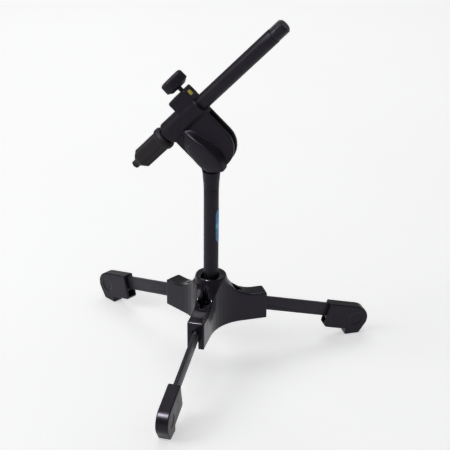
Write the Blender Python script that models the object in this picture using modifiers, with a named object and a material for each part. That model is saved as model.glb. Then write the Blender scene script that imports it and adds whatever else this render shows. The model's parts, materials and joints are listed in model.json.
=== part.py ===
"""Desktop microphone stand: folding three-leg base, vertical column, tilting clamp and sliding boom.

The boom tilts in the XZ plane, the front leg points along -Y, and the floor is Z = 0.
"""

from math import acos, asin, atan2, cos, hypot, pi, radians, sin, tan

import bmesh
import bpy
from mathutils import Matrix, Vector

MM = 0.001

# Tubes and running clearances
TUBE_R = 8.0 * MM  # 16 mm tube for the column and the boom
TUBE_WALL = 1.2 * MM
GAP = 0.3 * MM  # clearance between neighbouring pieces
ROUND_STEPS = 40

# Hub
ARM_END = 61.6 * MM  # distance of an arm's end face from the column axis
ARM_HALF = 9.3 * MM
ARM_FILLET = 46.0 * MM  # plan radius of the hollow wall between two arms
HUB_BOTTOM = 37.5 * MM
HUB_COLLAR_TOP = 96.5 * MM
HUB_COLLAR_R = 16.7 * MM
ARM_TOP = 69.0 * MM
HUB_FLOOR = 45.5 * MM  # the column tube stands on this floor

# Legs and feet
LEG_SLOPE = radians(14.4)
LEG_HEIGHT = 15.0 * MM
LEG_THICK = 4.0 * MM
LEG_AXIS_Z = 51.76 * MM  # height of the leg's centreline at the arm's end
PIN_RADIUS = 24.0 * MM  # distance of a leg pin from the column axis
PIN_R = 2.0 * MM
PIN_BLIND = 7.5 * MM  # depth of the pin hole's blind end from the arm's middle plane
PIN_OPEN = 8.6 * MM  # where the pin stops inside the hole's open end
PIN_SIDES = {"front": -1, "right": 1, "left": -1}  # the side of the arm that the pin is pressed in from
FOOT_START = 139.7 * MM  # along the leg's slope, from the column axis
FOOT_END = 189.8 * MM
FOOT_UP = 9.6 * MM  # above and below the leg's centreline
FOOT_DOWN = 19.7 * MM
FOOT_THICK = 13.4 * MM
PAD_INNER = 156.5 * MM
PAD_OUTER = 173.2 * MM
LEG_ANGLES = {"front": radians(-90), "right": radians(30), "left": radians(150)}

# Column and tilt joint
COLLAR_BOTTOM = 197.0 * MM
COLLAR_TOP = 217.5 * MM
PIVOT_X = 1.3 * MM
PIVOT_Z = 246.0 * MM
TONGUE_R = 21.5 * MM
TONGUE_HALF = 2.8 * MM
CHEEK_R = 24.3 * MM
CHEEK_IN = 4.2 * MM  # half the slot between the cheeks
CHEEK_OUT = 8.4 * MM
SLOT_ROOF = 27.3 * MM
SCREW_R = 2.5 * MM

# Boom clamp and boom, measured from the pivot in the clamp's own frame
BOOM_TILT = radians(46.45)
BOOM_UP = 39.15 * MM  # boom axis above the pivot
BOOM_Y = -1.0 * MM
SLEEVE_R = 12.4 * MM
SLEEVE_BACK = -26.6 * MM
CLAMP_FRONT = 24.3 * MM  # one flat front for the sleeve, the block and the cheeks
BLOCK_BACK = 0.6 * MM
BLOCK_HALF = 10.7 * MM
BLOCK_TOP = 61.8 * MM
KNOB_X = 17.9 * MM
KNOB_LOW = 65.6 * MM
KNOB_HIGH = 79.5 * MM
BOOM_THREAD = 130.1 * MM
BOOM_TIP = 145.8 * MM
CAP_MOUTH = -29.8 * MM
CAP_TAPER = -69.0 * MM
CAP_BACK = -75.8 * MM
CAP_NUB = -80.9 * MM


def clear_scene():
    for obj in list(bpy.data.objects):
        bpy.data.objects.remove(obj, do_unlink=True)


def collection(name):
    made = bpy.data.collections.new(name)
    bpy.context.scene.collection.children.link(made)
    return made


def material(name, colour, roughness, metallic=0.0):
    made = bpy.data.materials.new(name)
    made.use_nodes = True
    shader = made.node_tree.nodes["Principled BSDF"]
    shader.inputs["Base Color"].default_value = (*colour, 1.0)
    shader.inputs["Roughness"].default_value = roughness
    shader.inputs["Metallic"].default_value = metallic
    return made


def empty(name, location, rotation=(0, 0, 0), parent=None):
    made = bpy.data.objects.new(name, None)
    made.empty_display_size = 0.02
    made.location = location
    made.rotation_euler = rotation
    made.parent = parent
    PARTS.objects.link(made)
    return made


def add_object(name, mesh, look, parent, location=(0, 0, 0), rotation=(0, 0, 0)):
    """A sub-part when it has a material, or a hidden cutter when it has none."""
    made = bpy.data.objects.new(name, mesh)
    made.location = location
    made.rotation_euler = rotation
    made.parent = parent
    if look is None:
        CUTTERS.objects.link(made)
        made.hide_render = True
        made.display_type = "WIRE"
    else:
        PARTS.objects.link(made)
        mesh.materials.clear()
        mesh.materials.append(look)
        mesh.shade_smooth()
        mesh.set_sharp_from_angle(angle=radians(35))
    return made


def mesh_of(name, build):
    shape = bmesh.new()
    build(shape)
    bmesh.ops.recalc_face_normals(shape, faces=shape.faces)
    made = bpy.data.meshes.new(name)
    shape.to_mesh(made)
    shape.free()
    return made


def box_mesh(name, low, high):
    low, high = Vector(low), Vector(high)

    def build(shape):
        place = Matrix.Translation((low + high) / 2) @ Matrix.Diagonal((*(high - low), 1))
        bmesh.ops.create_cube(shape, size=1, matrix=place)

    return mesh_of(name, build)


def along(axis, start):
    """The matrix that lays a +Z shape along X, Y or Z, starting at a point."""
    turn = {"X": Matrix.Rotation(pi / 2, 4, "Y"), "Y": Matrix.Rotation(-pi / 2, 4, "X"), "Z": Matrix()}
    return Matrix.Translation(Vector(start)) @ turn[axis]


def rod_mesh(name, radius, length, axis="Z", start=(0, 0, 0), steps=ROUND_STEPS, end_radius=None):
    def build(shape):
        place = along(axis, start) @ Matrix.Translation((0, 0, length / 2))
        bmesh.ops.create_cone(
            shape,
            cap_ends=True,
            segments=steps,
            radius1=radius,
            radius2=radius if end_radius is None else end_radius,
            depth=length,
            matrix=place,
        )

    return mesh_of(name, build)


def turned(name, profile, look, parent, location=(0, 0, 0), rotation=(0, 0, 0), steps=ROUND_STEPS):
    """A turned piece: (radius, height) points run down the outer side, then back inside if it is hollow."""
    mesh = bpy.data.meshes.new(name)
    closed = min(radius for radius, _ in profile) > 0
    edges = [(i, i + 1) for i in range(len(profile) - 1)]
    if closed:
        edges.append((len(profile) - 1, 0))
    mesh.from_pydata([(radius, 0, height) for radius, height in profile], edges, [])
    made = add_object(name, mesh, look, parent, location, rotation)
    screw = made.modifiers.new("Turn", "SCREW")
    screw.steps = steps
    screw.render_steps = steps
    screw.use_merge_vertices = True
    screw.merge_threshold = 0.00001
    screw.use_smooth_shade = True
    return made


def outline_mesh(name, points, low, high, plane="XY", bevel=0.0):
    """A flat outline pushed from low to high along the plane's normal, with bevelled rims."""
    place = {
        "XY": lambda a, b, h: (a, b, h),
        "XZ": lambda a, b, h: (a, h, b),
        "YZ": lambda a, b, h: (h, a, b),
    }[plane]

    def build(shape):
        bottom = [shape.verts.new(place(a, b, low)) for a, b in points]
        face = shape.faces.new(bottom)
        made = bmesh.ops.extrude_face_region(shape, geom=[face])
        moved = [item for item in made["geom"] if isinstance(item, bmesh.types.BMVert)]
        bmesh.ops.translate(shape, verts=moved, vec=Vector(place(0, 0, high - low)))
        if bevel:
            caps = [f for f in shape.faces if len(f.verts) == len(points)]
            rims = {edge for cap in caps for edge in cap.edges}
            bmesh.ops.bevel(shape, geom=list(rims), offset=bevel, segments=2, affect="EDGES", profile=0.5)

    return mesh_of(name, build)


def arc(centre, radius, start, end, steps):
    """Points on an arc, both ends included, with angles in degrees."""
    turn = [radians(start + (end - start) * i / steps) for i in range(steps + 1)]
    return [(centre[0] + radius * cos(a), centre[1] + radius * sin(a)) for a in turn]


def boolean(target, cutter, operation="DIFFERENCE"):
    made = target.modifiers.new(cutter.name, "BOOLEAN")
    made.operation = operation
    made.solver = "EXACT"
    made.object = cutter


def cut(target, name, mesh, parent, location=(0, 0, 0), rotation=(0, 0, 0), operation="DIFFERENCE"):
    boolean(target, add_object(name, mesh, None, parent, location, rotation), operation)


# ---------------------------------------------------------------- base


def hub_plan():
    """Plan outline of the hub: three straight-sided arms with hollow fillets between them."""
    corner = ARM_HALF / sin(radians(60))
    centre = corner + ARM_FILLET / sin(radians(60))
    points = []
    for angle in LEG_ANGLES.values():
        for side in (-1, 1):
            x, y = ARM_END, side * ARM_HALF
            points.append((x * cos(angle) - y * sin(angle), x * sin(angle) + y * cos(angle)))
        between = angle + radians(60)
        middle = (centre * cos(between), centre * sin(between))
        facing = between + pi
        for i in range(9):
            turn = facing + radians(30 - 60 * i / 8)
            points.append((middle[0] + ARM_FILLET * cos(turn), middle[1] + ARM_FILLET * sin(turn)))
    return points


def hub_height_profile():
    """Outer side of the hub seen along an arm: collar, hollow slope, flat arm top and rounded nose."""
    slope_radius = 34 * MM
    slope = arc((HUB_COLLAR_R + 33 * MM, ARM_TOP + slope_radius), slope_radius, 203, 270, 8)
    nose = 2.6 * MM
    end = arc((ARM_END + 1.2 * MM - nose, ARM_TOP - nose), nose, 90, 0, 4)
    lip = arc((HUB_COLLAR_R - 1.2 * MM, HUB_COLLAR_TOP - 1.2 * MM), 1.2 * MM, 90, 0, 4)
    below = HUB_BOTTOM - 5 * MM
    return [(0, HUB_COLLAR_TOP), *lip, *slope, *end, (ARM_END + 1.2 * MM, below), (0, below)]


def leg_slot_outline():
    """The space a leg swings in, seen from the side: it is open at the arm's end and underneath."""
    ceiling = LEG_HEIGHT / 2 / cos(LEG_SLOPE) + 0.4 * MM
    inner = PIN_RADIUS - LEG_HEIGHT / 2 - 0.7 * MM
    top_inner = leg_centre_z(PIN_RADIUS) + ceiling
    outer = ARM_END + 10 * MM
    return [
        (inner, HUB_BOTTOM - 10 * MM),
        (outer, HUB_BOTTOM - 10 * MM),
        (outer, leg_centre_z(outer) + ceiling),
        (PIN_RADIUS, top_inner),
        (inner, top_inner),
    ]


def leg_centre_z(radius):
    return LEG_AXIS_Z + (ARM_END - radius) * tan(LEG_SLOPE)


def keyhole_outline():
    """Opening in the arm's top: a straight slot that widens to an oval over the leg's heel."""
    half = 2.6 * MM
    middle, length, width = 27.0 * MM, 4.2 * MM, 7.0 * MM
    side = asin(half / width)
    oval = []
    for low, high in ((side, pi - side), (pi + side, 2 * pi - side)):
        for i in range(9):
            turn = low + (high - low) * i / 8
            oval.append((middle + length * cos(turn), width * sin(turn)))
    near, far = 18.3 * MM, 35.0 * MM
    first, second = oval[:9], oval[9:]
    return [(far, half), *first, (near, half), (near, -half), *second, (far, -half)]


def make_hub(base):
    hub = add_object(
        "hub",
        outline_mesh("hub", hub_plan(), HUB_BOTTOM, HUB_COLLAR_TOP + 5 * MM),
        LOOKS["hub_plastic"],
        base,
    )
    boolean(hub, turned("hub_height", hub_height_profile(), None, base, steps=72), "INTERSECT")
    bore_r = TUBE_R + GAP
    mouth_r, mouth_floor = 8.8 * MM, 84 * MM
    cut(hub, "hub_bore", rod_mesh("hub_bore", bore_r, 60 * MM, start=(0, 0, HUB_FLOOR)), base)
    corner, reach = 2.5 * MM, 12.8 * MM
    mouth = arc((0, 0), mouth_r, 0, 180, 20)
    mouth += arc((corner - mouth_r, corner - reach), corner, 180, 270, 4)
    mouth += arc((mouth_r - corner, corner - reach), corner, 270, 360, 4)
    cut(hub, "hub_mouth", outline_mesh("hub_mouth", mouth, mouth_floor, 110 * MM), base)
    cut(hub, "hub_screw_hole", rod_mesh("hub_screw_hole", 4.4 * MM, 30 * MM, start=(0, 0, 30 * MM)), base)
    cut(hub, "hub_recess", rod_mesh("hub_recess", 10 * MM, 12 * MM, start=(0, 0, 29.5 * MM)), base)
    slot_half = LEG_THICK / 2 + 0.7 * MM
    for place, angle in LEG_ANGLES.items():
        turn = (0, 0, angle)
        slot = outline_mesh("slot_" + place, leg_slot_outline(), -slot_half, slot_half, "XZ")
        cut(hub, "leg_slot_" + place, slot, base, rotation=turn)
        keyhole = outline_mesh("keyhole_" + place, keyhole_outline(), 64 * MM, 110 * MM)
        cut(hub, "arm_keyhole_" + place, keyhole, base, rotation=turn)
        pin_start = (PIN_RADIUS, min(-PIN_BLIND, 20 * MM * PIN_SIDES[place]), leg_centre_z(PIN_RADIUS))
        pin_hole = rod_mesh("pin_hole_" + place, PIN_R + 0.1 * MM, 20 * MM + PIN_BLIND, "Y", pin_start, 20)
        cut(hub, "pin_hole_" + place, pin_hole, base, rotation=turn)
    return hub


def make_leg(place, angle, base):
    """Steel bar on edge, its moulded foot and its hinge pin, each with its origin on the hinge axis."""
    pivot = (PIN_RADIUS, 0, leg_centre_z(PIN_RADIUS))
    turn = empty("leg_turn_" + place, (0, 0, 0), (0, 0, angle), base)
    hinge = empty("leg_hinge_" + place, pivot, (0, LEG_SLOPE, 0), turn)
    half = LEG_HEIGHT / 2
    reach = PIN_RADIUS / cos(LEG_SLOPE)  # slope distance from the column axis to the pin
    end = FOOT_END - reach - 16 * MM
    bar_outline = arc((0, 0), half, 90, 270, 12) + [(end, -half), (end, half)]
    bar_mesh = outline_mesh("leg_" + place, bar_outline, -LEG_THICK / 2, LEG_THICK / 2, "XZ")
    bar = add_object("leg_" + place, bar_mesh, LOOKS["leg_paint"], hinge)
    hole = rod_mesh("leg_eye", PIN_R + 0.1 * MM, 10 * MM, "Y", (0, -5 * MM, 0), 20)
    cut(bar, "leg_eye_" + place, hole, hinge)
    blind = PIN_BLIND - GAP
    pin_start = -blind if PIN_SIDES[place] > 0 else -PIN_OPEN
    pin = rod_mesh("leg_pin_" + place, PIN_R, PIN_OPEN + blind, "Y", (0, pin_start, 0), 20)
    add_object("leg_pin_" + place, pin, LOOKS["screw_steel"], hinge)
    make_foot(place, hinge, reach, end)


def foot_outline(reach):
    """Side view in the leg's frame: flat top, round outer end, and a pad that lies flat on the floor."""
    radius = (FOOT_UP + FOOT_DOWN) / 2
    middle = FOOT_UP - radius
    start, end = FOOT_START - reach, FOOT_END - reach
    centre = (end - radius, middle)

    def on_floor(distance):
        """A floor point at this distance from the column axis, in the leg's frame."""
        across = distance - PIN_RADIUS
        down = leg_centre_z(PIN_RADIUS)
        lean = (cos(LEG_SLOPE), sin(LEG_SLOPE))
        return (across * lean[0] + down * lean[1], across * lean[1] - down * lean[0])

    inner, outer = on_floor(PAD_INNER), on_floor(PAD_OUTER)
    leave = atan2(outer[1] - centre[1], outer[0] - centre[0])
    reach_out = hypot(outer[0] - centre[0], outer[1] - centre[1])
    arc_end = (leave + acos(radius / reach_out)) * 180 / pi
    bevel = 2.2 * MM
    return [
        (start, FOOT_UP),
        (start, -FOOT_DOWN + bevel),
        (start + bevel, -FOOT_DOWN),
        (inner[0] - 1.6 * MM, -FOOT_DOWN),
        inner,
        outer,
        *arc(centre, radius, arc_end, 90, 14),
    ]


def make_foot(place, hinge, reach, bar_end):
    half = FOOT_THICK / 2
    name = "foot_" + place
    foot_mesh = outline_mesh(name, foot_outline(reach), -half, half, "XZ", bevel=0.9 * MM)
    foot = add_object(name, foot_mesh, LOOKS["foot_rubber"], hinge)
    start = FOOT_START - reach
    side = LEG_THICK / 2 + GAP
    low, high = -LEG_HEIGHT / 2 - GAP, LEG_HEIGHT / 2 + GAP
    pocket = box_mesh("pocket", (start - 5 * MM, -side, low), (bar_end + GAP, side, high))
    cut(foot, name + "_pocket", pocket, hinge)
    hollow_start = (start - 5 * MM, -4.4 * MM, -FOOT_DOWN + 3.2 * MM)
    hollow = box_mesh("hollow", hollow_start, (start + 13 * MM, 4.4 * MM, low - 1.6 * MM))
    cut(foot, name + "_hollow", hollow, hinge)
    radius = (FOOT_UP + FOOT_DOWN) / 2
    centre = (FOOT_END - reach - radius, FOOT_UP - radius)
    for side_name, across in (("near", -half - 2 * MM), ("far", half - 0.7 * MM)):
        dimple = rod_mesh("dimple", 7.4 * MM, 2.7 * MM, "Y", (centre[0], across, centre[1]), 28)
        cut(foot, name + "_dimple_" + side_name, dimple, hinge)


def make_base(base):
    make_hub(base)
    for place, angle in LEG_ANGLES.items():
        make_leg(place, angle, base)
    washer_top = HUB_FLOOR - 4 * MM - GAP
    washer_low = washer_top - 1.4 * MM
    turned(
        "bottom_washer",
        [(8.5 * MM, washer_top), (8.5 * MM, washer_low), (4.5 * MM, washer_low), (4.5 * MM, washer_top)],
        LOOKS["screw_steel"],
        base,
    )
    head_top = washer_low - GAP
    screw = add_object(
        "bottom_screw",
        rod_mesh("bottom_screw", 7.2 * MM, 2.0 * MM, start=(0, 0, head_top - 2.0 * MM), steps=6),
        LOOKS["screw_steel"],
        base,
    )
    shank = rod_mesh("bottom_screw_shank", 3.9 * MM, 24 * MM, start=(0, 0, head_top - 1 * MM))
    cut(screw, "bottom_screw_shank", shank, base, operation="UNION")


# ---------------------------------------------------------------- column


def make_column(base):
    inner = TUBE_R - TUBE_WALL
    bottom = HUB_FLOOR + GAP
    top = COLLAR_BOTTOM - GAP
    turned(
        "column_tube",
        [(TUBE_R, top), (TUBE_R, bottom), (inner, bottom), (inner, top)],
        LOOKS["tube_paint"],
        base,
        steps=48,
    )
    plug_r, bore_r = inner - 0.1 * MM, 4.1 * MM
    plug_low, plug_high = bottom + GAP, bottom + 22 * MM
    turned(
        "column_plug",
        [(plug_r, plug_high), (plug_r, plug_low), (bore_r, plug_low), (bore_r, plug_high)],
        LOOKS["screw_steel"],
        base,
    )
    make_label(base)


def make_label(base):
    """Label wrapped round one side of the column: a thin curved sheet with round corners, left plain."""
    low, high = 136.7 * MM, 174.3 * MM
    inner, outer = TUBE_R + 0.08 * MM, TUBE_R + 0.24 * MM
    half_arc, middle = radians(72), radians(34)
    half_width = outer * half_arc
    radius = 5 * MM
    columns, rows = 18, 12
    centre_z, half_height = (low + high) / 2, (high - low) / 2

    def build(shape):
        grid = {}
        for i in range(columns + 1):
            across = half_width * (2 * i / columns - 1)
            beyond = max(0, abs(across) - (half_width - radius))
            height = half_height - radius + (radius**2 - beyond**2) ** 0.5
            for j in range(rows + 1):
                z = centre_z + height * (2 * j / rows - 1)
                turn = middle + across / outer
                for k, r in enumerate((inner, outer)):
                    grid[i, j, k] = shape.verts.new((r * cos(turn), r * sin(turn), z))
        for i in range(columns):
            for j in range(rows):
                for k in range(2):
                    corners = ((i, j, k), (i + 1, j, k), (i + 1, j + 1, k), (i, j + 1, k))
                    shape.faces.new([grid[corner] for corner in corners])
        for i in range(columns):
            for j in (0, rows):
                shape.faces.new([grid[i, j, 0], grid[i + 1, j, 0], grid[i + 1, j, 1], grid[i, j, 1]])
        for j in range(rows):
            for i in (0, columns):
                shape.faces.new([grid[i, j, 0], grid[i, j + 1, 0], grid[i, j + 1, 1], grid[i, j, 1]])

    add_object("column_label", mesh_of("column_label", build), LOOKS["label_blue"], base)


def make_lower_joint(base):
    """Plug-in collar with the flat tongue that the clamp's cheeks turn on."""
    spigot_r = TUBE_R - TUBE_WALL - 0.15 * MM
    joint = turned(
        "lower_joint",
        [
            (0, COLLAR_TOP),
            (9.2 * MM, COLLAR_TOP),
            (9.6 * MM, COLLAR_TOP - 0.6 * MM),
            (9.2 * MM, COLLAR_TOP - 4.5 * MM),
            (8.65 * MM, COLLAR_TOP - 11 * MM),
            (8.3 * MM, COLLAR_BOTTOM + 6 * MM),
            (8.1 * MM, COLLAR_BOTTOM),
            (spigot_r, COLLAR_BOTTOM),
            (spigot_r, COLLAR_BOTTOM - 25 * MM),
            (0, COLLAR_BOTTOM - 25 * MM),
        ],
        LOOKS["clamp_plastic"],
        base,
    )
    neck = 8.6 * MM
    level = (COLLAR_TOP - 2 * MM) - PIVOT_Z
    outline = arc((0, 0), TONGUE_R, -30, 210, 28) + [(-neck - PIVOT_X, level), (neck - PIVOT_X, level)]
    tongue = outline_mesh("tongue", outline, -TONGUE_HALF, TONGUE_HALF, "XZ")
    cut(joint, "joint_tongue", tongue, base, (PIVOT_X, 0, PIVOT_Z), operation="UNION")
    hole = rod_mesh("tongue_hole", SCREW_R + 0.3 * MM, 40 * MM, "Y", (0, -20 * MM, 0), 24)
    cut(joint, "tongue_hole", hole, base, (PIVOT_X, 0, PIVOT_Z))
    for side, start in (("front", -CHEEK_IN + GAP), ("back", TONGUE_HALF + GAP)):
        thick = CHEEK_IN - TONGUE_HALF - 2 * GAP
        washer = add_object(
            "friction_washer_" + side,
            rod_mesh("friction_washer_" + side, 15 * MM, thick, "Y", (0, start, 0)),
            LOOKS["washer_fibre"],
            base,
            (PIVOT_X, 0, PIVOT_Z),
        )
        eye = rod_mesh("washer_eye", SCREW_R + 0.3 * MM, 4 * MM, "Y", (0, start - 1 * MM, 0), 24)
        cut(washer, "washer_eye_" + side, eye, base, (PIVOT_X, 0, PIVOT_Z))


# ---------------------------------------------------------------- clamp


def cheek_outline(top):
    return arc((0, 0), CHEEK_R, 180, 360, 36) + [(CHEEK_R, top), (-CHEEK_R, top)]


def smooth_steps(values, count):
    """Values spread evenly along a smooth curve through the given ones."""
    ends = [2 * values[0] - values[1], *values, 2 * values[-1] - values[-2]]
    spread = []
    for i in range(count + 1):
        place = (len(values) - 1) * i / count
        j = min(int(place), len(values) - 2)
        t = place - j
        a, b, c, d = ends[j : j + 4]
        spread.append(b + 0.5 * t * (c - a + t * (2 * a - 5 * b + 4 * c - d + t * (3 * (b - c) + d - a))))
    return spread


def ridge_mesh():
    """Raised leaf-shaped ridge on the front cheek, from under the sleeve round the end of the cheek."""
    # In mm from the pivot, from the sleeve to the rounded end, with the height measured from the cheek
    along_cheek = smooth_steps([30.5, 24, 15, 4, -7, -17, -24.6, -26.4], 28)
    left_foot = smooth_steps([-10.8, -16.4, -21.2, -23.2, -23.8, -21.4, -12.4, -9.0], 28)
    crest_line = smooth_steps([-8.4, -5.4, -2.5, 0.1, 0.6, -0.8, -4.4, -6.0], 28)
    right_foot = smooth_steps([-4.6, -1, 1.8, 5.1, 6.9, 4.2, -1.2, -3.6], 28)
    heights = smooth_steps([1.8, 6.2, 9.4, 10.6, 10.2, 9.2, 6.4, 4.6], 28)

    def build(shape):
        root = -CHEEK_OUT + 2 * MM
        rings = []
        for z, left, crest, right, height in zip(along_cheek, left_foot, crest_line, right_foot, heights):
            rise = [
                (left, 0),
                (left + 0.04 * (crest - left), 0.26),
                (left + 0.16 * (crest - left), 0.46),
                (left + 0.4 * (crest - left), 0.7),
                (left + 0.7 * (crest - left), 0.9),
                (left + 0.9 * (crest - left), 0.985),
                (crest, 1.0),
                (crest + 0.16 * (right - crest), 0.94),
                (crest + 0.34 * (right - crest), 0.76),
                (crest + 0.62 * (right - crest), 0.4),
                (right, 0),
            ]
            points = [(left * MM, root)]
            points += [(x * MM, -CHEEK_OUT - share * height * MM) for x, share in rise]
            points.append((right * MM, root))
            rings.append([shape.verts.new((x, y, z * MM)) for x, y in points])
        for one, two in zip(rings, rings[1:]):
            for j in range(len(one)):
                k = (j + 1) % len(one)
                shape.faces.new([one[j], one[k], two[k], two[j]])
        shape.faces.new(rings[0])
        shape.faces.new(list(reversed(rings[-1])))

    return mesh_of("clamp_ridge", build)


def make_clamp(tilt):
    beyond = CLAMP_FRONT + 3 * MM
    ease = 1.3 * MM
    body = turned(
        "clamp_body",
        [
            (0, beyond),
            (SLEEVE_R, beyond),
            (SLEEVE_R, SLEEVE_BACK + ease),
            (SLEEVE_R - 0.3 * ease, SLEEVE_BACK + 0.3 * ease),
            (SLEEVE_R - ease, SLEEVE_BACK),
            (0, SLEEVE_BACK),
        ],
        LOOKS["clamp_plastic"],
        tilt,
        (0, BOOM_Y, BOOM_UP),
        (0, pi / 2, 0),
        56,
    )
    outline = cheek_outline(BOOM_UP - 4 * MM)
    cheeks = outline_mesh("cheeks", outline, -CHEEK_OUT, CHEEK_OUT, "XZ", bevel=0.6 * MM)
    cut(body, "clamp_cheeks", cheeks, tilt, operation="UNION")
    corner = 2.6 * MM
    half, middle = BLOCK_HALF, 0.5 * MM + BOOM_Y
    block_outline = [
        *arc((middle + half - corner, BLOCK_TOP - corner), corner, 0, 90, 4),
        *arc((middle - half + corner, BLOCK_TOP - corner), corner, 90, 180, 4),
        (middle - half, BOOM_UP + 1 * MM),
        (middle + half, BOOM_UP + 1 * MM),
    ]
    block = outline_mesh("block", block_outline, BLOCK_BACK, beyond + 1 * MM, "YZ", bevel=1.1 * MM)
    cut(body, "clamp_block", block, tilt, operation="UNION")
    cut(body, "clamp_ridge", ridge_mesh(), tilt, operation="UNION")

    wide = 80 * MM
    front = box_mesh("front_plane", (CLAMP_FRONT, -wide, -wide), (CLAMP_FRONT + wide, wide, 1.2 * wide))
    cut(body, "clamp_front_plane", front, tilt)
    cheek_slot = box_mesh("cheek_slot", (-40 * MM, -CHEEK_IN, -40 * MM), (40 * MM, CHEEK_IN, SLOT_ROOF))
    cut(body, "clamp_slot", cheek_slot, tilt)
    bore = rod_mesh("boom_bore", TUBE_R + GAP, 90 * MM, "X", (-45 * MM, BOOM_Y, BOOM_UP), 48)
    cut(body, "clamp_bore", bore, tilt)
    low, high = 51.8 * MM, 58.0 * MM
    pocket_left, pocket_right = BOOM_Y - 4.6 * MM, BOOM_Y + 6.4 * MM
    nut_pocket = box_mesh("nut_pocket", (12.4 * MM, pocket_left, low), (35 * MM, pocket_right, high))
    cut(body, "clamp_nut_pocket", nut_pocket, tilt)
    screw_hole = rod_mesh("screw_hole", SCREW_R + GAP, 30 * MM, "Z", (KNOB_X, BOOM_Y + 1 * MM, 44 * MM), 24)
    cut(body, "clamp_screw_hole", screw_hole, tilt)
    pivot_hole = rod_mesh("pivot_hole", SCREW_R + GAP, 40 * MM, "Y", (0, -7.9 * MM, 0), 24)
    cut(body, "clamp_pivot_hole", pivot_hole, tilt)
    hex_pocket = rod_mesh("hex_pocket", 5.0 * MM, 6 * MM, "Y", (0, -8.0 * MM, 0), 6)
    cut(body, "clamp_hex_pocket", hex_pocket, tilt)

    nut_low = (KNOB_X - 5.2 * MM, pocket_left + GAP, low + GAP)
    nut_high = (CLAMP_FRONT - 1.2 * MM, pocket_right - GAP, high - GAP)
    nut = add_object("clamp_nut", box_mesh("clamp_nut", nut_low, nut_high), LOOKS["nut_brass"], tilt)
    thread_start = (KNOB_X, BOOM_Y + 1 * MM, 46 * MM)
    thread = rod_mesh("nut_thread", SCREW_R + 0.1 * MM, 20 * MM, "Z", thread_start, 24)
    cut(nut, "clamp_nut_thread", thread, tilt)

    pivot_nut = rod_mesh("pivot_nut", 4.6 * MM, 3.1 * MM, "Y", (0, -7.7 * MM, 0), 6)
    nut = add_object("pivot_nut", pivot_nut, LOOKS["screw_steel"], tilt)
    thread = rod_mesh("pivot_thread", SCREW_R + 0.1 * MM, 12 * MM, "Y", (0, -14 * MM, 0), 24)
    cut(nut, "pivot_nut_thread", thread, tilt)


def make_tilt_lock(tilt):
    """Pivot screw with its moulded knob and thrust washer, behind the back cheek."""
    turn = (-pi / 2, 0, 0)
    washer, hole_r = CHEEK_OUT + GAP, SCREW_R + GAP
    start = washer + 1.2 * MM + GAP
    turned(
        "tilt_washer",
        [(8 * MM, start - GAP), (8 * MM, washer), (hole_r, washer), (hole_r, start - GAP)],
        LOOKS["screw_steel"],
        tilt,
        rotation=turn,
    )
    knob = add_object(
        "tilt_knob",
        lobed_mesh("tilt_knob", 12.4 * MM, 1.3 * MM, 8, start, start + 11.5 * MM, 1.4 * MM),
        LOOKS["knob_plastic"],
        tilt,
    )
    hole = rod_mesh("knob_hole", SCREW_R + 0.1 * MM, 9 * MM, "Y", (0, start - 2 * MM, 0), 24)
    cut(knob, "tilt_knob_hole", hole, tilt)
    screw_start = -7.5 * MM
    screw = rod_mesh("pivot_screw", SCREW_R, start + 6.5 * MM - screw_start, "Y", (0, screw_start, 0), 24)
    add_object("pivot_screw", screw, LOOKS["screw_steel"], tilt)


def lobed_mesh(name, radius, depth, lobes, low, high, bevel):
    """Hand knob along Y whose rim waves in and out, with rounded edges."""
    count = lobes * 6
    points = []
    for i in range(count):
        turn = 2 * pi * i / count
        reach = radius - depth * (0.5 - 0.5 * cos(lobes * turn)) ** 2
        points.append((reach * cos(turn), reach * sin(turn)))
    return outline_mesh(name, points, low, high, "XZ", bevel)


def make_clamp_lock(tilt):
    """Pressure pad, screw and knurled knob that hold the boom in the sleeve."""
    pad_bottom = BOOM_UP + TUBE_R + GAP
    pad_top = pad_bottom + 1.8 * MM
    centre = (KNOB_X, BOOM_Y + 1 * MM, 0)
    pad = rod_mesh("pressure_pad", SCREW_R, pad_top - pad_bottom, "Z", (0, 0, pad_bottom), 24)
    add_object("pressure_pad", pad, LOOKS["nut_brass"], tilt, centre)
    screw_bottom = pad_top + GAP
    screw_length = KNOB_LOW + 9 * MM - screw_bottom
    screw = rod_mesh("clamp_screw", SCREW_R, screw_length, "Z", (0, 0, screw_bottom), 24)
    add_object("clamp_screw", screw, LOOKS["screw_steel"], tilt, centre)
    knob = add_object("clamp_knob", knurled_mesh(KNOB_LOW, KNOB_HIGH), LOOKS["knob_plastic"], tilt, centre)
    hole = rod_mesh("knob_socket", SCREW_R + 0.1 * MM, 12 * MM, "Z", (0, 0, KNOB_LOW - 2.7 * MM), 24)
    cut(knob, "clamp_knob_socket", hole, tilt, centre)


def knurled_mesh(low, high):
    """Knurled knob, slightly conical, with a tapered inner side and a rounded outer rim."""
    teeth = 40
    levels = [
        (low, 8.8 * MM, 0.0),
        (low + 2.3 * MM, 12.3 * MM, 0.2),
        (low + 3.3 * MM, 13.35 * MM, 1.0),
        (high - 1.9 * MM, 13.05 * MM, 1.0),
        (high - 0.7 * MM, 12.5 * MM, 0.5),
        (high - 0.1 * MM, 11.6 * MM, 0.0),
        (high, 10.5 * MM, 0.0),
    ]

    def build(shape):
        rings = []
        for z, radius, relief in levels:
            ring = []
            for i in range(2 * teeth):
                turn = pi * i / teeth
                reach = radius + (0.25 * MM if i % 2 else -0.25 * MM) * relief
                ring.append(shape.verts.new((reach * cos(turn), reach * sin(turn), z)))
            rings.append(ring)
        for one, two in zip(rings, rings[1:]):
            for j in range(2 * teeth):
                k = (j + 1) % (2 * teeth)
                shape.faces.new([one[j], one[k], two[k], two[j]])
        shape.faces.new(list(reversed(rings[0])))
        shape.faces.new(rings[-1])

    return mesh_of("clamp_knob", build)


# ---------------------------------------------------------------- boom


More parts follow.
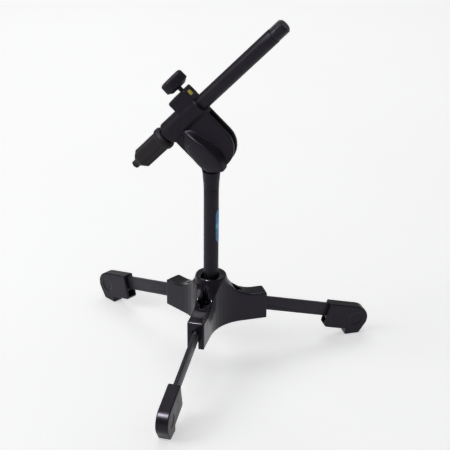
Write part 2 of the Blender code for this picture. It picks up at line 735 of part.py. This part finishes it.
def make_boom(tilt):
    inner = TUBE_R - TUBE_WALL
    lay = (0, pi / 2, 0)
    place = (0, BOOM_Y, BOOM_UP)
    back = CAP_BACK + 14 * MM
    turned(
        "boom_tube",
        [(TUBE_R, BOOM_THREAD), (TUBE_R, back), (inner, back), (inner, BOOM_THREAD)],
        LOOKS["tube_paint"],
        tilt,
        place,
        lay,
        48,
    )
    make_threaded_tip(inner, tilt, place, lay)
    make_end_cap(tilt, place)


def make_threaded_tip(inner, tilt, place, lay):
    """Solid 5/8 inch threaded end with ring grooves for its 27 threads per inch drawn twice as coarse."""
    tip_r = 7.8 * MM
    groove = 0.42 * MM
    pitch = 1.88 * MM
    root = BOOM_THREAD + GAP
    chamfer = 1.7 * MM
    thread = []
    for i in range(7):
        crest = BOOM_TIP - chamfer - i * pitch
        thread += [(tip_r, crest), (tip_r, crest - 0.5 * pitch)]
        thread += [(tip_r - groove, crest - 0.75 * pitch)]
    inside = inner - 0.1 * MM
    turned(
        "threaded_tip",
        [
            (0, BOOM_TIP),
            (tip_r - chamfer, BOOM_TIP),
            *thread,
            (tip_r - groove, root),
            (inside, root),
            (inside, root - 18 * MM),
            (0, root - 18 * MM),
        ],
        LOOKS["thread_steel"],
        tilt,
        place,
        lay,
    )


def make_end_cap(tilt, place):
    """Push-on rubber cap: flanged mouth, hexagonal body, tapered end and a short nub."""
    steps = 48
    spin = radians(-12)
    # Distance along the boom, radius, and how far the section is a hexagon
    levels = [
        (CAP_MOUTH, 9.9 * MM, 0.0),
        (CAP_MOUTH - 0.6 * MM, 10.8 * MM, 0.0),
        (CAP_MOUTH - 2.6 * MM, 12.3 * MM, 0.0),
        (CAP_MOUTH - 3.4 * MM, 12.5 * MM, 0.0),
        (CAP_MOUTH - 6.4 * MM, 12.5 * MM, 0.0),
        (CAP_MOUTH - 7.3 * MM, 12.0 * MM, 0.0),
        (CAP_MOUTH - 8.2 * MM, 11.3 * MM, 0.8),
        (CAP_MOUTH - 9.6 * MM, 11.2 * MM, 1.0),
        (CAP_TAPER, 11.1 * MM, 1.0),
        (CAP_TAPER - 0.8 * MM, 10.6 * MM, 1.0),
        (CAP_BACK, 4.9 * MM, 0.4),
    ]

    def radius_at(turn, size, hexagon):
        facet = (turn - spin + pi / 6) % (pi / 3) - pi / 6
        flat = min(size, 0.885 * size / cos(facet))
        return size + hexagon * (flat - size)

    def build(shape):
        rings = []
        for x, size, hexagon in levels:
            ring = []
            for i in range(steps):
                turn = 2 * pi * i / steps
                reach = radius_at(turn, size, hexagon)
                ring.append(shape.verts.new((x, reach * cos(turn), reach * sin(turn))))
            rings.append(ring)
        for one, two in zip(rings, rings[1:]):
            for j in range(steps):
                k = (j + 1) % steps
                shape.faces.new([one[j], one[k], two[k], two[j]])
        shape.faces.new(rings[0])
        shape.faces.new(list(reversed(rings[-1])))

    cap = add_object("end_cap", mesh_of("end_cap", build), LOOKS["cap_rubber"], tilt, place)
    nub = rod_mesh("nub", 4.25 * MM, CAP_BACK + 3 * MM - CAP_NUB, "X", (CAP_NUB, 0, 0), 28)
    cut(cap, "end_cap_nub", nub, tilt, place, operation="UNION")
    socket_end = CAP_BACK + 14 * MM - GAP
    socket = rod_mesh("cap_socket", TUBE_R + 0.15 * MM, 40 * MM, "X", (socket_end, 0, 0), 48)
    cut(cap, "end_cap_socket", socket, tilt, place)


# ---------------------------------------------------------------- assembly

clear_scene()
PARTS = collection("desktop_mic_stand")
CUTTERS = collection("cutters")
LOOKS = {
    "hub_plastic": material("hub_plastic", (0.022, 0.022, 0.024), 0.42),
    "clamp_plastic": material("clamp_plastic", (0.024, 0.024, 0.026), 0.5),
    "tube_paint": material("tube_paint", (0.018, 0.018, 0.02), 0.45),
    "leg_paint": material("leg_paint", (0.02, 0.02, 0.023), 0.5),
    "foot_rubber": material("foot_rubber", (0.02, 0.02, 0.021), 0.62),
    "cap_rubber": material("cap_rubber", (0.05, 0.045, 0.042), 0.75),
    "knob_plastic": material("knob_plastic", (0.02, 0.02, 0.021), 0.5),
    "screw_steel": material("screw_steel", (0.5, 0.5, 0.5), 0.35, 1.0),
    "thread_steel": material("thread_steel", (0.03, 0.03, 0.034), 0.3, 0.8),
    "nut_brass": material("nut_brass", (0.75, 0.52, 0.2), 0.3, 1.0),
    "washer_fibre": material("washer_fibre", (0.12, 0.05, 0.03), 0.8),
    "label_blue": material("label_blue", (0.1, 0.45, 0.65), 0.35),
}

# Half the difference between the feet's reach to the front and to the back:
# it centres the footprint on Y = 0.
FOOTPRINT_SHIFT = 43.0 * MM

STAND = empty("stand_base", (0, FOOTPRINT_SHIFT, 0))
TILT = empty("tilt_axis", (PIVOT_X, 0, PIVOT_Z), (0, -BOOM_TILT, 0), STAND)
make_base(STAND)
make_column(STAND)
make_lower_joint(STAND)
make_clamp(TILT)
make_tilt_lock(TILT)
make_clamp_lock(TILT)
make_boom(TILT)
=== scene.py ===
"""Looks for the desktop microphone stand: finished pieces, a pale floor and soft studio light."""

import json
from math import cos, pi, radians, sin

import bmesh
import bpy
from mathutils import Matrix, Vector


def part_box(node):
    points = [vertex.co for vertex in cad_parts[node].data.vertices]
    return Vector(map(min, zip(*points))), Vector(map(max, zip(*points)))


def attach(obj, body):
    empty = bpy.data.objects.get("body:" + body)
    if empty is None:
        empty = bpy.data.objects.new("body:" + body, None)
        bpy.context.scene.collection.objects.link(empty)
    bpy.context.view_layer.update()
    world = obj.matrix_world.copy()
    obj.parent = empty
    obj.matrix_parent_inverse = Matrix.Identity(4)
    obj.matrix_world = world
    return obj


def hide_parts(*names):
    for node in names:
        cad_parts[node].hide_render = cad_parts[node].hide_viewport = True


MM = 0.001
WELD = 0.002 * MM  # points closer than this are one point
TUBE_RADIUS = 8.0 * MM  # column and boom
TUBE_WALL = 1.2 * MM

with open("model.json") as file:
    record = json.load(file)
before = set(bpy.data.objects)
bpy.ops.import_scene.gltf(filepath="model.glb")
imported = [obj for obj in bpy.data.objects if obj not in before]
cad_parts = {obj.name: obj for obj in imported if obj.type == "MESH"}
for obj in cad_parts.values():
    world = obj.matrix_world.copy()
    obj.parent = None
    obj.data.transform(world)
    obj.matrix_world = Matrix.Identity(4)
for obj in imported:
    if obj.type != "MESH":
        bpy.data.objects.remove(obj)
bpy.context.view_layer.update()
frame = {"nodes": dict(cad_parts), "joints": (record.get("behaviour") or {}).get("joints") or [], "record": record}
BODY_OF = {n: body for body, members in frame["record"]["behaviour"]["bodies"].items() for n in members}
SLOT_OF = {part["node"]: part["material_slot"] for part in frame["record"]["subparts"]}
JOINTS = {joint["name"]: joint for joint in frame["joints"]}


def middle(node):
    low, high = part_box(node)
    return (low + high) / 2


# The clamp's own frame: X along the boom, Z from the pivot to the boom, origin on the pivot
PIVOT = Vector(JOINTS["clamp_tilt"]["pos_m"])
BOOM_AXIS = Vector(JOINTS["boom_slide"]["axis"]).normalized()
ACROSS = Vector((0, 1, 0))
CLAMP_UP = BOOM_AXIS.cross(ACROSS)
CLAMP = Matrix.Translation(PIVOT) @ Matrix((BOOM_AXIS, ACROSS, CLAMP_UP)).transposed().to_4x4()
COLUMN = Matrix.Translation((middle("column_tube").x, middle("column_tube").y, 0))

# Lines that the turned pieces are centred on: the column's in COLUMN, the boom's and the knob's in CLAMP
COLUMN_LINE = (0, 0)
boom_middle = CLAMP.inverted() @ middle("boom_tube")
BOOM_LINE = (boom_middle.y, boom_middle.z)
knob_pivot = CLAMP.inverted() @ Vector(JOINTS["clamp_knob_turn"]["pos_m"])
KNOB_LINE = (knob_pivot.x, knob_pivot.y)


def span(node, place, axis):
    """Lowest and highest value of a node along one axis of a local frame."""
    inverse = place.inverted()
    values = [(inverse @ vertex.co)[axis] for vertex in frame["nodes"][node].data.vertices]
    return min(values), max(values)


# ---------------------------------------------------------------- material kit

REFRACTION = 1.47  # index of every surface
COOL = (0.9, 0.82, 1.0)  # tint of the shine on the black pieces, which is slightly violet in the photo


class Surface:
    """A Principled material with a few shortcuts for its procedural nodes."""

    def __init__(self, name, metallic=0.0, specular=0.5, tint=None):
        self.material = bpy.data.materials.new(name)
        self.material.use_nodes = True
        self.tree = self.material.node_tree
        self.shader = self.tree.nodes["Principled BSDF"]
        self.shader.inputs["Metallic"].default_value = metallic
        self.shader.inputs["Specular IOR Level"].default_value = specular
        self.shader.inputs["IOR"].default_value = REFRACTION
        if tint:
            self.shader.inputs["Specular Tint"].default_value = (*tint, 1.0)
        self.place = self.node("ShaderNodeTexCoord").outputs["Object"]

    def node(self, kind, **settings):
        made = self.tree.nodes.new(kind)
        for name, value in settings.items():
            setattr(made, name, value)
        return made

    def link(self, output, socket):
        self.tree.links.new(output, socket)

    def feed(self, value, socket):
        """Gives a socket a number, a colour or another node's output."""
        if isinstance(value, (int, float)):
            socket.default_value = value
        elif isinstance(value, tuple):
            socket.default_value = (*value, 1.0)
        else:
            self.link(value, socket)

    def noise(self, scale, detail, stretch=None):
        """Noise with about `scale` features a metre, drawn out along an axis when asked."""
        made = self.node("ShaderNodeTexNoise")
        made.inputs["Scale"].default_value = scale
        made.inputs["Detail"].default_value = detail
        made.inputs["Roughness"].default_value = 0.55
        source = self.place
        if stretch:
            mapping = self.node("ShaderNodeMapping")
            mapping.inputs["Scale"].default_value = stretch
            self.link(self.place, mapping.inputs["Vector"])
            source = mapping.outputs["Vector"]
        self.link(source, made.inputs["Vector"])
        return made.outputs["Fac"]

    def ramp(self, source, stops):
        """Colours or grey values along a factor: stops are (position, value or colour)."""
        made = self.node("ShaderNodeValToRGB")
        elements = made.color_ramp.elements
        while len(elements) < len(stops):
            elements.new(0.5)
        for element, (position, value) in zip(elements, stops):
            colour = value if isinstance(value, tuple) else (value, value, value)
            element.position = position
            element.color = (*colour, 1.0)
        self.link(source, made.inputs["Fac"])
        return made.outputs["Color"]

    def mix(self, factor, first, second):
        made = self.node("ShaderNodeMix", data_type="RGBA")
        # A colour mix has its factor on socket 0 and its two colours on sockets 6 and 7
        self.feed(factor, made.inputs[0])
        self.feed(first, made.inputs[6])
        self.feed(second, made.inputs[7])
        return made.outputs[2]

    def times(self, first, second):
        made = self.node("ShaderNodeMath", operation="MULTIPLY")
        self.feed(first, made.inputs[0])
        self.feed(second, made.inputs[1])
        return made.outputs[0]

    def edges(self, low, high):
        """1 on convex edges and 0 on flats and hollows."""
        pointiness = self.node("ShaderNodeNewGeometry").outputs["Pointiness"]
        return self.ramp(pointiness, [(low, 0.0), (high, 1.0)])

    def bump(self, *layers):
        """Stacks (height, strength, distance) layers, coarse to fine."""
        normal = None
        for height, strength, distance in layers:
            made = self.node("ShaderNodeBump")
            made.inputs["Strength"].default_value = strength
            made.inputs["Distance"].default_value = distance
            self.link(height, made.inputs["Height"])
            if normal:
                self.link(normal, made.inputs["Normal"])
            normal = made.outputs["Normal"]
        self.link(normal, self.shader.inputs["Normal"])

    def finish(self, colour, roughness):
        self.link(colour, self.shader.inputs["Base Color"])
        self.link(roughness, self.shader.inputs["Roughness"])
        return self.material


def moulded_look(name, dark, light, rough, wear_and_sheen, grain, specular):
    """Moulded plastic, rubber or fibre: cloudy tone, a fine grain, and convex edges painted paler and made
    smoother, partly as wear and partly as a painted sheen on the rims.
    """
    look = Surface(name, specular=specular, tint=COOL)
    clouds = look.noise(45, 4)
    speckle = look.noise(1400, 2)
    tone = look.ramp(clouds, [(0.3, dark), (0.72, light)])
    tone = look.mix(0.25, tone, look.ramp(speckle, [(0.35, dark), (0.7, light)]))
    patchy = look.ramp(look.noise(300, 3), [(0.3, 0.3), (0.6, 1.0)])
    # Paler convex edges: partly wear, partly a painted sheen that stands in for highlights on the rims
    rubbed_and_sheen = look.times(look.edges(0.53, 0.58), patchy)
    tone = look.mix(rubbed_and_sheen, tone, wear_and_sheen)
    cloudy_rough = look.ramp(look.noise(90, 4), [(0.25, rough - 0.05), (0.8, rough + 0.07)])
    roughness = look.mix(rubbed_and_sheen, cloudy_rough, (rough - 0.1,) * 3)
    look.bump((look.noise(160, 2), 0.12, 8 * grain), (look.noise(2600, 2), 0.3, grain), (speckle, 0.2, grain))
    return look.finish(tone, roughness)


def painted_look(name, dark, light, rough, wear_and_sheen, specular):
    """Satin powder coat on steel: orange-peel bump, dust and small rubs on the edges."""
    look = Surface(name, specular=specular, tint=COOL)
    tone = look.ramp(look.noise(60, 4), [(0.3, dark), (0.75, light)])
    dust = look.ramp(look.noise(900, 3), [(0.62, 0.0), (0.74, 1.0)])
    tone = look.mix(look.times(dust, 0.35), tone, wear_and_sheen)
    tone = look.mix(look.times(look.edges(0.53, 0.64), 0.8), tone, wear_and_sheen)
    roughness = look.ramp(look.noise(110, 3), [(0.3, rough - 0.05), (0.75, rough + 0.06)])
    look.bump((look.noise(750, 2), 0.35, 0.06 * MM), (look.noise(3200, 1), 0.25, 0.02 * MM))
    return look.finish(tone, roughness)


def machined_look(name, dark, light, rough, stretch, metallic):
    """Machined or plated metal: fine drawn scratches, cloudy plating and bright edges."""
    look = Surface(name, metallic=metallic)
    tone = look.ramp(look.noise(220, 4), [(0.3, dark), (0.7, light)])
    bright = tuple(min(1.0, 1.25 * channel + 0.05) for channel in light)
    tone = look.mix(look.edges(0.53, 0.63), tone, bright)
    lines = look.noise(1800, 2, stretch=stretch)
    roughness = look.ramp(lines, [(0.3, rough - 0.08), (0.7, rough + 0.1)])
    look.bump((lines, 0.25, 0.03 * MM))
    return look.finish(tone, roughness)


def label_look(name):
    """Light blue printed film with a pale border and plain bands, with no lettering."""
    look = Surface(name)
    low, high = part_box("column_label")
    height = look.node("ShaderNodeSeparateXYZ")
    look.link(look.place, height.inputs[0])
    share = look.node("ShaderNodeMapRange")
    share.inputs["From Min"].default_value = low.z
    share.inputs["From Max"].default_value = high.z
    look.link(height.outputs["Z"], share.inputs["Value"])
    blue, pale, deep = (0.008, 0.17, 0.39), (0.08, 0.36, 0.55), (0.004, 0.09, 0.25)
    bands = [(0.0, pale), (0.035, blue), (0.16, blue), (0.2, deep), (0.24, blue), (0.42, blue), (0.47, pale)]
    bands += [(0.54, pale), (0.59, blue), (0.76, blue), (0.8, deep), (0.84, blue), (0.965, blue), (1.0, pale)]
    tone = look.ramp(share.outputs["Result"], bands)
    scuffs = look.ramp(look.noise(500, 3), [(0.45, 0.0), (0.75, 0.15)])
    tone = look.mix(scuffs, tone, (0.2, 0.42, 0.54))
    roughness = look.ramp(look.noise(200, 3), [(0.3, 0.28), (0.7, 0.4)])
    look.bump((look.noise(260, 2), 0.15, 0.05 * MM))
    return look.finish(tone, roughness)


# ---------------------------------------------------------------- materials, one for each slot

LOOKS = {
    "hub_plastic": moulded_look(
        "hub_plastic",
        dark=(0.0062, 0.0052, 0.0085),
        light=(0.0095, 0.0082, 0.0125),
        rough=0.18,
        wear_and_sheen=(0.06, 0.058, 0.068),
        grain=0.008 * MM,
        specular=0.3,
    ),
    "clamp_plastic": moulded_look(
        "clamp_plastic",
        dark=(0.0062, 0.0052, 0.0085),
        light=(0.0092, 0.008, 0.012),
        rough=0.42,
        # The pale edge colour is partly a painted sheen along the cheeks' rims and partly wear
        wear_and_sheen=(0.1, 0.096, 0.108),
        grain=0.03 * MM,
        specular=0.22,
    ),
    "knob_plastic": moulded_look(
        "knob_plastic",
        dark=(0.0065, 0.0055, 0.0085),
        light=(0.0095, 0.0082, 0.012),
        rough=0.44,
        wear_and_sheen=(0.05, 0.048, 0.055),
        grain=0.04 * MM,
        specular=0.2,
    ),
    "foot_rubber": moulded_look(
        "foot_rubber",
        dark=(0.008, 0.0068, 0.0105),
        light=(0.0125, 0.011, 0.0155),
        rough=0.34,
        wear_and_sheen=(0.07, 0.068, 0.078),
        grain=0.03 * MM,
        specular=0.27,
    ),
    "cap_rubber": moulded_look(
        "cap_rubber",
        dark=(0.014, 0.0125, 0.0125),
        light=(0.021, 0.019, 0.0185),
        rough=0.62,
        wear_and_sheen=(0.06, 0.056, 0.053),
        grain=0.06 * MM,
        specular=0.2,
    ),
    "washer_fibre": moulded_look(
        "washer_fibre",
        dark=(0.09, 0.035, 0.02),
        light=(0.15, 0.07, 0.045),
        rough=0.8,
        wear_and_sheen=(0.2, 0.12, 0.08),
        grain=0.06 * MM,
        specular=0.3,
    ),
    "tube_paint": painted_look(
        "tube_paint",
        dark=(0.0065, 0.0058, 0.0088),
        light=(0.0098, 0.0088, 0.0125),
        rough=0.42,
        wear_and_sheen=(0.05, 0.048, 0.056),
        specular=0.25,
    ),
    "leg_paint": painted_look(
        "leg_paint",
        dark=(0.008, 0.0072, 0.0105),
        light=(0.0125, 0.0115, 0.0155),
        rough=0.38,
        wear_and_sheen=(0.07, 0.068, 0.075),
        specular=0.27,
    ),
    "screw_steel": machined_look(
        "screw_steel",
        dark=(0.1, 0.1, 0.105),
        light=(0.2, 0.2, 0.21),
        rough=0.34,
        stretch=(1, 1, 0.1),
        metallic=1.0,
    ),
    "thread_steel": machined_look(
        "thread_steel",
        dark=(0.012, 0.01, 0.016),
        light=(0.03, 0.027, 0.038),
        rough=0.26,
        stretch=(1, 0.1, 1),
        metallic=0.4,
    ),
    "nut_brass": machined_look(
        "nut_brass",
        dark=(1.0, 0.72, 0.05),
        light=(1.0, 0.88, 0.2),
        rough=0.2,
        stretch=(0.1, 1, 1),
        metallic=0.2,
    ),
    "label_blue": label_look("label_blue"),
}


# ---------------------------------------------------------------- ways to finish a piece


def new_piece(name, mesh):
    piece = bpy.data.objects.new(name, mesh)
    bpy.context.scene.collection.objects.link(piece)
    return piece


def dress(piece, node, sharp=35):
    """Gives a piece its finish and body, and hides the CAD node that it stands for."""
    piece.data.materials.clear()
    piece.data.materials.append(LOOKS[SLOT_OF[node]])
    piece.data.shade_smooth()
    piece.data.set_sharp_from_angle(angle=radians(sharp))
    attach(piece, BODY_OF[node])
    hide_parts(node)


def copy_of(node, join_flats=True):
    """A piece with the CAD node's welded shape, and its coplanar triangles joined when asked."""
    source = frame["nodes"][node].data
    mesh = bpy.data.meshes.new(node + "_finish")
    mesh.from_pydata([v.co for v in source.vertices], [], [tuple(p.vertices) for p in source.polygons])
    shape = bmesh.new()
    shape.from_mesh(mesh)
    bmesh.ops.remove_doubles(shape, verts=shape.verts, dist=WELD)
    if join_flats:
        bmesh.ops.dissolve_limit(shape, angle_limit=radians(0.6), verts=shape.verts, edges=shape.edges)
    bmesh.ops.recalc_face_normals(shape, faces=shape.faces)
    shape.to_mesh(mesh)
    shape.free()
    return new_piece(node + "_finish", mesh)


def apply_modifiers(piece):
    graph = bpy.context.evaluated_depsgraph_get()
    mesh = bpy.data.meshes.new_from_object(piece.evaluated_get(graph))
    piece.modifiers.clear()
    piece.data = mesh


def bevelled(node, width, segments=2):
    """The CAD shape with its edges eased by a bevel."""
    piece = copy_of(node)
    bevel = piece.modifiers.new("Ease", "BEVEL")
    bevel.width = width
    bevel.segments = segments
    bevel.limit_method = "ANGLE"
    bevel.angle_limit = radians(30)
    bevel.use_clamp_overlap = True
    apply_modifiers(piece)
    dress(piece, node)


def moulded(node, voxel, rounds):
    """The CAD shape re-skinned finely and relaxed, so that its edges and inner corners have moulded radii."""
    piece = copy_of(node, join_flats=False)
    skin = piece.modifiers.new("Skin", "REMESH")
    skin.mode = "VOXEL"
    skin.voxel_size = voxel
    skin.adaptivity = 0.0
    relax = piece.modifiers.new("Relax", "SMOOTH")
    relax.factor = 0.5
    relax.iterations = rounds
    apply_modifiers(piece)
    dress(piece, node, sharp=60)


def ring(axis, along, radius, centre, steps=96):
    """One ring of points round the local X or Z axis; the radius is a number or a function of the angle."""
    points = []
    for i in range(steps):
        turn = 2 * pi * i / steps
        reach = radius(turn) if callable(radius) else radius
        a = centre[0] + reach * cos(turn)
        b = centre[1] + reach * sin(turn)
        points.append((along, a, b) if axis == "X" else (a, b, along))
    return points


def rings_mesh(name, rings, place, capped=True):
    """Skins rings of points in a local frame; capped at both ends, or else the last joins the first."""
    shape = bmesh.new()
    made = [[shape.verts.new(place @ Vector(point)) for point in points] for points in rings]
    pairs = list(zip(made, made[1:]))
    if not capped:
        pairs.append((made[-1], made[0]))
    for one, two in pairs:
        for j in range(len(one)):
            k = (j + 1) % len(one)
            shape.faces.new([one[j], one[k], two[k], two[j]])
    if capped:
        shape.faces.new(made[0])
        shape.faces.new(list(reversed(made[-1])))
    bmesh.ops.recalc_face_normals(shape, faces=shape.faces)
    mesh = bpy.data.meshes.new(name)
    shape.to_mesh(mesh)
    shape.free()
    return mesh


def tube(node, place, axis, centre, ease, longer=0.0):
    """A drawn tube with eased rims, open at both ends; it reaches `longer` past the CAD tube's upper end."""
    low, high = span(node, place, 0 if axis == "X" else 2)
    high += longer
    sections = 12
    outer = TUBE_RADIUS
    inner = TUBE_RADIUS - TUBE_WALL
    corner = 0.3 * ease
    profile = [(low + ease, outer), (low + corner, outer - corner), (low, outer - ease), (low, inner)]
    profile += [(high, inner), (high, outer - ease), (high - corner, outer - corner), (high - ease, outer)]
    # Rings along the length, from the upper rim back to the lower one, keep the shading even
    straight = high - low - 2 * ease
    profile += [(high - ease - straight * i / sections, outer) for i in range(1, sections)]
    rings = [ring(axis, along, radius, centre) for along, radius in profile]
    mesh = rings_mesh(node + "_finish", rings, place, capped=False)
    dress(new_piece(node + "_finish", mesh), node)


def thread_wave(phase):
    """Cross-section of a thread: 0 at the root and 1 on a flattened crest."""
    flank = 2.6  # a slope of 2 would give a sharp crest
    phase %= 1.0
    return min(1.0, flank * min(phase, 1 - phase))


def threaded(node, axis, centre, low, high, radius, depth, pitch, chamfer, shank=()):
    """A threaded rod in the clamp's frame: a helical groove that runs out into a chamfer at its high end.

    The shank is plain rings before the thread, each a place along the axis and a radius.
    """
    steps, rings_per_pitch, chamfer_slope = 64, 8, 0.9
    count = max(2, round((high - low) / pitch * rings_per_pitch))
    rings = [ring(axis, along, size, centre, steps) for along, size in shank]
    for i in range(count + 1):
        along = low + (high - low) * i / count
        inset = max(0.0, chamfer - (high - along)) * chamfer_slope

        def radius_at(turn, along=along, inset=inset):
            crest = radius - depth * (1 - thread_wave(along / pitch + turn / (2 * pi)))
            return min(crest, radius - inset)

        rings.append(ring(axis, along, radius_at, centre, steps))
    mesh = rings_mesh(node + "_finish", rings, CLAMP)
    dress(new_piece(node + "_finish", mesh), node)


# ---------------------------------------------------------------- base and column


def make_column():
    """Plain tube whose upper rim closes on the collar above it."""
    tube("column_tube", COLUMN, "Z", COLUMN_LINE, ease=0.06 * MM, longer=0.26 * MM)


def make_hub():
    """Glossy hub with the largest moulded radii."""
    moulded("hub", voxel=0.5 * MM, rounds=34)


def make_collar():
    """Collar on the column and the tongue between the clamp's cheeks, one moulding."""
    moulded("lower_joint", voxel=0.4 * MM, rounds=8)


def make_legs():
    """Flat steel legs with their rubber feet and hinge pins."""
    for side in ("front", "right", "left"):
        bevelled("leg_" + side, 0.45 * MM)
        moulded("foot_" + side, voxel=0.45 * MM, rounds=9)
        bevelled("leg_pin_" + side, 0.3 * MM)


def make_column_fixings():
    """Plug, screw and washer at the column's foot, and the friction washers beside the tongue."""
    for node in ("bottom_screw", "bottom_washer", "column_plug"):
        bevelled(node, 0.2 * MM)
    for side in ("front", "back"):
        bevelled("friction_washer_" + side, 0.2 * MM)


def make_label():
    dress(copy_of("column_label"), "column_label", sharp=60)


# ---------------------------------------------------------------- clamp and boom


def make_boom():
    tube("boom_tube", CLAMP, "X", BOOM_LINE, ease=0.35 * MM)


def make_clamp_body():
    moulded("clamp_body", voxel=0.4 * MM, rounds=9)


def make_end_cap():
    moulded("end_cap", voxel=0.4 * MM, rounds=6)


def make_tip():
    """Threaded tip: a plain shank in the boom, a neck at its mouth and a thread with a chamfered end."""
    low, high = span("threaded_tip", CLAMP, 0)
    root = high - 15.4 * MM
    shank_radius = 6.6 * MM
    neck_radius = 7.3 * MM
    threaded(
        "threaded_tip",
        "X",
        BOOM_LINE,
        root + 0.9 * MM,
        high,
        radius=7.8 * MM,
        depth=0.75 * MM,
        pitch=1.88 * MM,
        chamfer=1.7 * MM,
        shank=[(low, shank_radius), (root - 0.1 * MM, shank_radius), (root, neck_radius)],
    )


def make_clamp_fixings():
    """Brass nut and pad of the clamp screw, and the pivot's screw, nut, washer and knob."""
    bevelled("clamp_nut", 0.5 * MM, segments=3)
    for node in ("pivot_nut", "pressure_pad", "pivot_screw"):
        bevelled(node, 0.3 * MM)
    bevelled("tilt_washer", 0.2 * MM)
    moulded("tilt_knob", voxel=0.4 * MM, rounds=3)


def make_clamp_screw():
    """Clamp screw with its 1 mm thread, the pitch that couples the knob to the pad."""
    low, high = span("clamp_screw", CLAMP, 2)
    threaded(
        "clamp_screw",
        "Z",
        KNOB_LINE,
        low,
        high,
        radius=2.5 * MM,
        depth=0.3 * MM,
        pitch=1.0 * MM,
        chamfer=0.5 * MM,
    )


def make_clamp_knob():
    """Knurled knob: raised ribs round its side, a rounded rim, and a dished outer face."""
    low, high = span("clamp_knob", CLAMP, 2)
    ribs, steps_per_rib = 40, 6
    rib_height = 0.4 * MM
    body = 13.1 * MM
    # Height, radius and share of the ribs, from the inner face's hole round to the outer face's middle
    profile = [
        (low + 9.0 * MM, 2.6 * MM, 0),
        (low + 0.4 * MM, 2.6 * MM, 0),
        (low + 0.1 * MM, 2.9 * MM, 0),
        (low, 3.4 * MM, 0),
        (low, 8.2 * MM, 0),
        (low + 0.15 * MM, 8.7 * MM, 0),
        (low + 2.2 * MM, body - 1.2 * MM, 0),
        (low + 2.6 * MM, body - 0.6 * MM, 0.4),
        (low + 3.1 * MM, body, 1),
        (low + 5.0 * MM, body, 1),
        (high - 5.0 * MM, body - 0.1 * MM, 1),
        (high - 2.2 * MM, body - 0.2 * MM, 1),
        (high - 1.5 * MM, body - 0.45 * MM, 0.7),
        (high - 0.9 * MM, body - 0.9 * MM, 0.3),
        (high - 0.4 * MM, body - 1.5 * MM, 0),
        (high - 0.05 * MM, body - 2.3 * MM, 0),
        (high, body - 3.0 * MM, 0),
        (high - 0.1 * MM, body - 3.6 * MM, 0),
        (high - 0.7 * MM, body - 4.4 * MM, 0),
        (high - 0.9 * MM, body - 5.4 * MM, 0),
        (high - 0.9 * MM, 1.0 * MM, 0),
    ]
    rings = []
    for along, radius, share in profile:

        def radius_at(turn, radius=radius, share=share):
            wave = max(-1.0, min(1.0, 1.6 * cos(ribs * turn)))
            return radius + share * rib_height * wave

        rings.append(ring("Z", along, radius_at, KNOB_LINE, ribs * steps_per_rib))
    mesh = rings_mesh("clamp_knob_finish", rings, CLAMP)
    dress(new_piece("clamp_knob_finish", mesh), "clamp_knob", sharp=50)


# ---------------------------------------------------------------- floor, light and camera

WORLD = 0.27  # strength of the even light from all round
GLOW = 0.48  # the paper's own light, which keeps the shadows weak
BACK, KEY, FRONT = 14, 17, 90  # watts
LIT_POINT = Vector((0, 0, 0.15))

# The photo's viewpoint, measured from the column's foot
CAMERA_PLACE = Vector((0.3007, -1.1098, 0.7122))
CAMERA_TARGET = Vector((0.01415, 0.00383, 0.15449))
CAMERA_ROLL = radians(0.552)
CAMERA_LENS = 96.58
SENSOR_WIDTH = 36


def make_floor():
    """A sheet of pale paper, a hair below the feet."""
    shape = bmesh.new()
    bmesh.ops.create_grid(shape, x_segments=8, y_segments=8, size=8)
    mesh = bpy.data.meshes.new("floor")
    shape.to_mesh(mesh)
    shape.free()
    floor = new_piece("floor", mesh)
    floor.location.z = -0.2 * MM
    look = Surface("floor_paper", specular=0.2)
    look.shader.inputs["Emission Color"].default_value = (1, 1, 1, 1)
    look.shader.inputs["Emission Strength"].default_value = GLOW
    tone = look.ramp(look.noise(3, 3), [(0.3, (0.83, 0.835, 0.83)), (0.7, (0.85, 0.853, 0.855))])
    look.bump((look.noise(400, 3), 0.05, 0.3 * MM))
    look.finish(tone, look.ramp(look.noise(20, 2), [(0.3, 0.75), (0.7, 0.85)]))
    mesh.materials.append(look.material)


def area_light(name, position, size, power, gloss_only=False):
    """A soft box aimed at the stand; with gloss_only it adds highlights and no shadow on the floor."""
    data = bpy.data.lights.new(name, "AREA")
    data.shape = "RECTANGLE"
    data.size, data.size_y = size
    data.energy = power
    lamp = bpy.data.objects.new(name, data)
    bpy.context.scene.collection.objects.link(lamp)
    lamp.location = position
    lamp.rotation_euler = (LIT_POINT - Vector(position)).to_track_quat("-Z", "Y").to_euler()
    lamp.visible_diffuse = not gloss_only


def make_light():
    world = bpy.data.worlds.new("studio")
    bpy.context.scene.world = world
    world.use_nodes = True
    background = world.node_tree.nodes["Background"]
    background.inputs["Color"].default_value = (0.9, 0.905, 0.91, 1)
    background.inputs["Strength"].default_value = WORLD
    area_light("back", (-0.5, 1.7, 2.1), (2.0, 1.2), BACK)
    area_light("key", (-1.9, -0.9, 1.5), (1.2, 1.2), KEY)
    area_light("front", (-0.5, -0.8, 1.9), (0.3, 0.2), FRONT, gloss_only=True)


def make_camera():
    place = COLUMN.translation + CAMERA_PLACE
    target = COLUMN.translation + CAMERA_TARGET
    forward = (target - place).normalized()
    level = forward.cross(Vector((0, 0, 1))).normalized()
    above = level.cross(forward)
    right = level * cos(CAMERA_ROLL) + above * sin(CAMERA_ROLL)
    up = above * cos(CAMERA_ROLL) - level * sin(CAMERA_ROLL)
    data = bpy.data.cameras.new("camera")
    data.lens = CAMERA_LENS
    data.sensor_width = SENSOR_WIDTH
    camera = bpy.data.objects.new("camera", data)
    bpy.context.scene.collection.objects.link(camera)
    camera.matrix_world = Matrix.Translation(place) @ Matrix((right, up, -forward)).transposed().to_4x4()
    bpy.context.scene.camera = camera


make_column()
make_hub()
make_collar()
make_legs()
make_column_fixings()
make_label()
make_boom()
make_clamp_body()
make_end_cap()
make_tip()
make_clamp_fixings()
make_clamp_screw()
make_clamp_knob()
make_floor()
make_light()
make_camera()
bpy.context.scene.view_settings.view_transform = "Standard"
